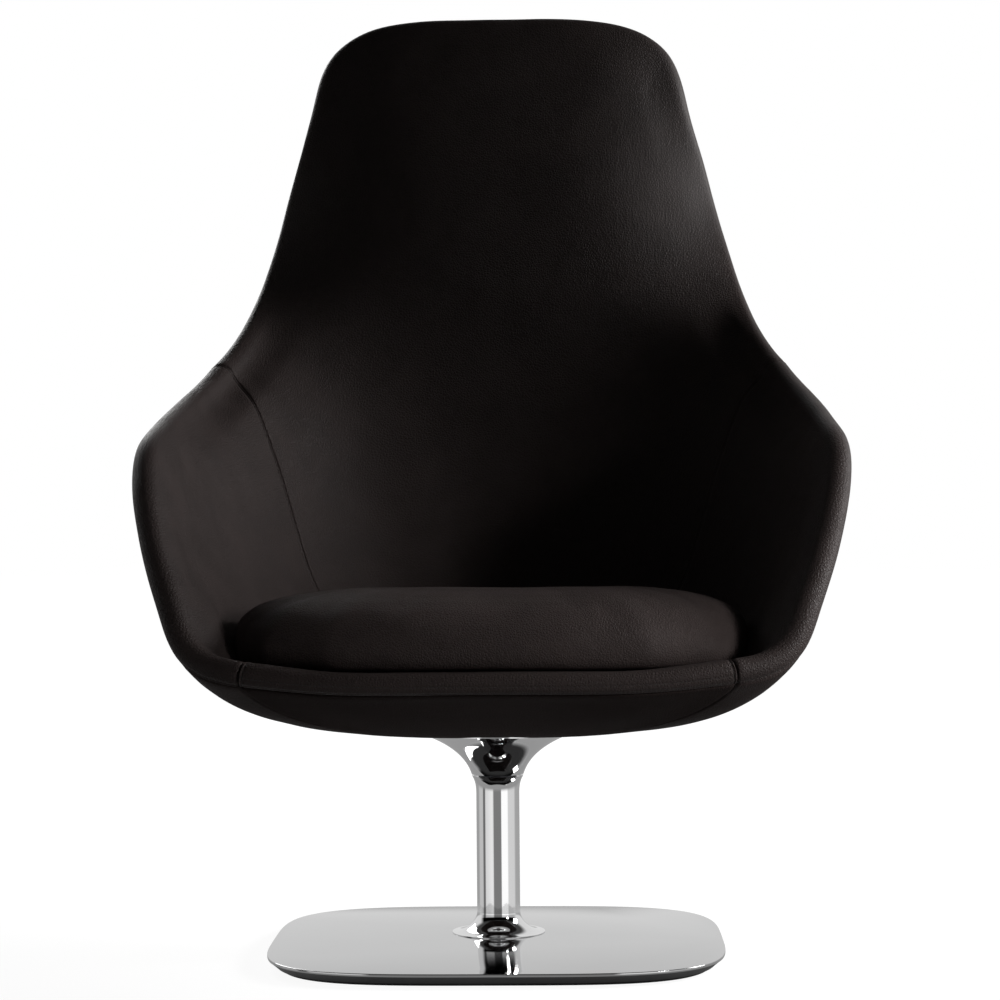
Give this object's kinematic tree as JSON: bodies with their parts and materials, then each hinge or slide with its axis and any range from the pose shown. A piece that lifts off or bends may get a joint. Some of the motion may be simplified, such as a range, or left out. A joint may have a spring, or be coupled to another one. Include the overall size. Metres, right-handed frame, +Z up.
{
  "type": "swivel lounge chair",
  "caption": "High-backed bucket lounge chair in dark leather with a loose seat cushion, turning on a slim column over a flat square base plate.",
  "frame": {"origin": "on the floor, where the swivel axis meets it, under the column", "axes": "+Z up along the swivel axis; the sitter faces -Y and the back is on +Y; +X is the sitter's left"},
  "size_m": [0.7436, 0.7329, 1.0771],
  "materials": {
    "floor_pad": "matte",
    "base_plate": "satin",
    "column_bolts": "plain zinc",
    "foot_plug": "turned",
    "column": "polished",
    "bushes": "natural",
    "bearing_steel": "ground",
    "ball_cage": "pressed",
    "bearing_balls": "polished",
    "spindle": "ground",
    "dark_steel": "blackened",
    "swivel_head": "polished",
    "mounting_plate": "plain",
    "seat_shell": "moulded, glass-fibre filled",
    "foam": "moulded foam",
    "leather": "fine grain, soft sheen",
    "deck_cloth": "woven, dark",
    "leather_cushion": "leather over a foam and fibre filling"
  },
  "bodies": {
    "base": {"floor_pad": "floor_pad", "base_plate": "base_plate", "column_bolts": "column_bolts", "foot_plug": "foot_plug", "column": "column", "lower_bush": "bushes", "upper_bush": "bushes", "lower_race": "bearing_steel"},
    "cage": {"ball_cage": "ball_cage", "bearing_balls": "bearing_balls"},
    "seat": {"upper_race": "bearing_steel", "spindle": "spindle", "spindle_screw": "dark_steel", "keeper_washer": "bearing_steel", "retaining_ring": "dark_steel", "swivel_head": "swivel_head", "head_bolts": "dark_steel", "mounting_plate": "mounting_plate", "seat_shell": "seat_shell", "back_foam": "foam", "seat_foam": "foam", "outer_cover": "leather", "front_panel": "leather", "front_band": "leather", "arm_panel_left": "leather", "arm_panel_right": "leather", "back_panel": "leather", "deck_panel": "deck_cloth", "seat_cushion": "leather_cushion"}
  },
  "joints": [
    {"name": "seat_swivel", "type": "hinge", "parent": "base", "child": "seat", "pos_m": [0, 0, 0.188], "axis": [0, 0, 1], "continuous": true},
    {"name": "cage_turn", "type": "hinge", "parent": "base", "child": "cage", "pos_m": [0, 0, 0.188], "axis": [0, 0, 1], "continuous": true}
  ],
  "couplings": [
    {"joint": "cage_turn", "follows": "seat_swivel", "ratio": 0.5}
  ]
}
